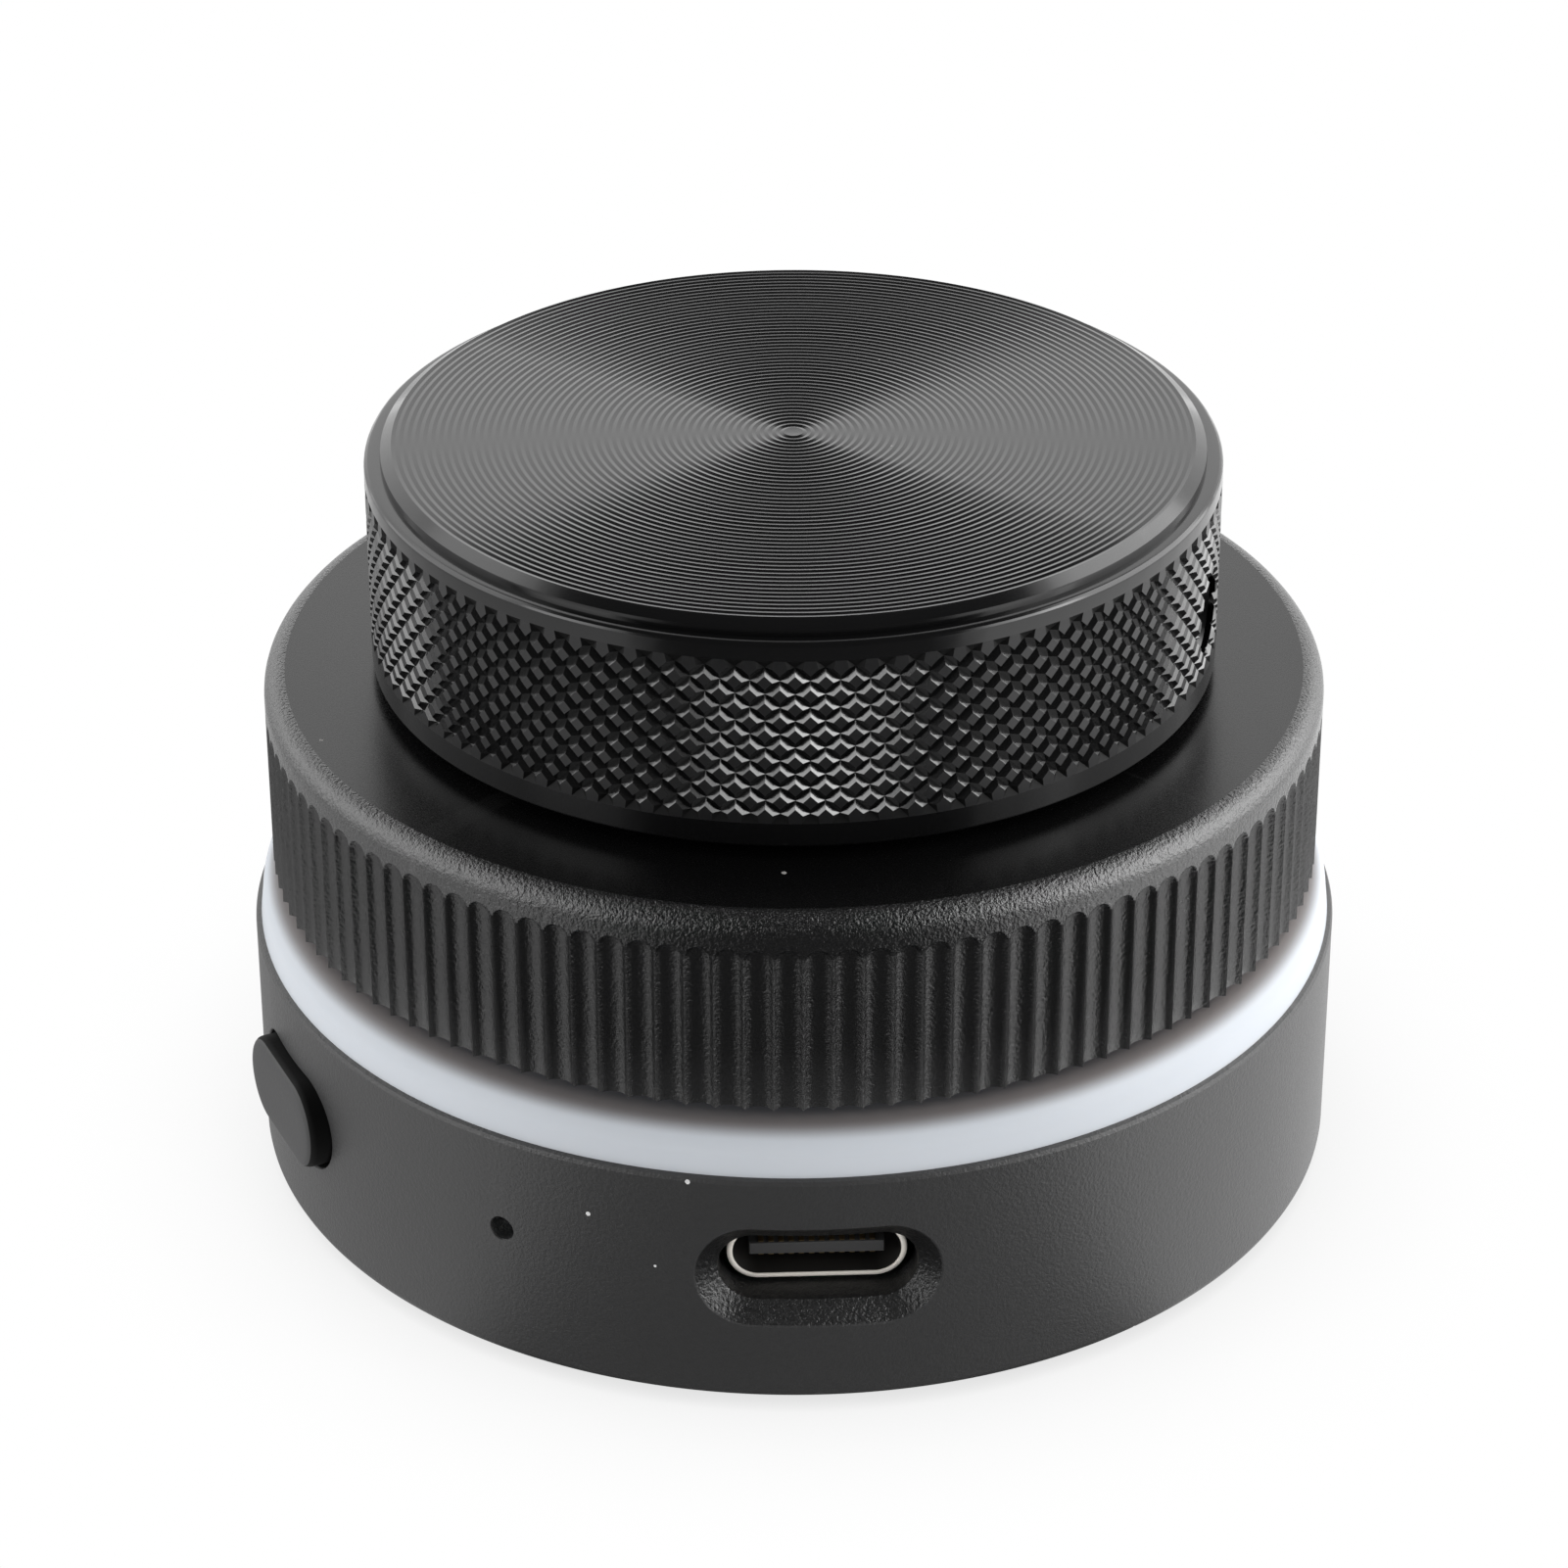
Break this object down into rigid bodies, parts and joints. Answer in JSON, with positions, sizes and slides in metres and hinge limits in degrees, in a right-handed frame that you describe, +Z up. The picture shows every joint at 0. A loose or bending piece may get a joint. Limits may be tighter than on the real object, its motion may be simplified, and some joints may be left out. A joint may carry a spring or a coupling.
{
  "type": "desktop volume control knob",
  "caption": "Round desktop volume control: a knurled knob that turns and presses, a fluted outer dial, a lit ring, a side button and a USB-C socket in a metal base.",
  "frame": {"origin": "centre of the rubber foot's underside, on the surface the object stands on", "axes": "+Z up along the knob's axis, -Y towards the front, where the USB-C socket is, +X to the right seen from the front"},
  "size_m": [0.0572, 0.057, 0.0401],
  "materials": {
    "base_metal": "bead-blasted, anodised dark grey",
    "dial_metal": "fine satin, anodised near black",
    "knob_metal": "knurled side and turned face, anodised gloss black",
    "light_plastic": "translucent milky white, lit from below, emissive",
    "foot_rubber": "matt black",
    "black_plastic": "matt black moulding",
    "pale_plastic": "natural moulding",
    "board": "green lacquered circuit board",
    "steel": "plain zinc-plated or stainless",
    "gold": "thin gold plating",
    "lens": "clear to milky light package"
  },
  "bodies": {
    "base": {"base_housing": "base_metal", "bottom_cover": "black_plastic", "cover_screws": "steel", "rubber_foot": "foot_rubber", "main_board": "board", "board_screws": "steel", "control_chip": "black_plastic", "board_capacitors": "pale_plastic", "board_link": "black_plastic", "usb_shell": "steel", "usb_tongue": "black_plastic", "usb_contacts": "gold", "status_light": "lens", "switch_body": "black_plastic", "light_ring": "light_plastic", "led_board": "board", "ring_lights": "lens", "encoder_case": "steel", "encoder_terminals": "steel", "push_dome": "steel", "contact_plate": "gold", "knob_detent_spring": "steel", "dial_detent_spring": "steel", "threaded_bushing": "steel", "lock_washer": "steel", "panel_nut": "steel"},
    "dial": {"outer_dial": "dial_metal", "dial_shaft": "steel", "dial_disc": "pale_plastic"},
    "rotor": {"knob_disc": "pale_plastic"},
    "knob": {"knob_cap": "knob_metal", "knob_shaft": "steel", "set_screw": "steel"},
    "button": {"side_button": "black_plastic", "switch_plunger": "pale_plastic"}
  },
  "joints": [
    {"name": "dial_turn", "type": "hinge", "parent": "base", "child": "dial", "pos_m": [0, 0, 0.01], "axis": [0, 0, 1], "continuous": true},
    {"name": "knob_turn", "type": "hinge", "parent": "base", "child": "rotor", "pos_m": [0, 0, 0.01], "axis": [0, 0, 1], "continuous": true},
    {"name": "knob_press", "type": "slide", "parent": "rotor", "child": "knob", "axis": [0, 0, -1], "range_m": [0, 0.0005], "stiffness_N_per_m": 4000, "springref_m": -0.0005, "deforming": ["push_dome"]},
    {"name": "button_press", "type": "slide", "parent": "base", "child": "button", "axis": [0.9272, 0.3746, 0], "range_m": [0, 0.0004], "stiffness_N_per_m": 4000, "springref_m": -0.0003}
  ]
}
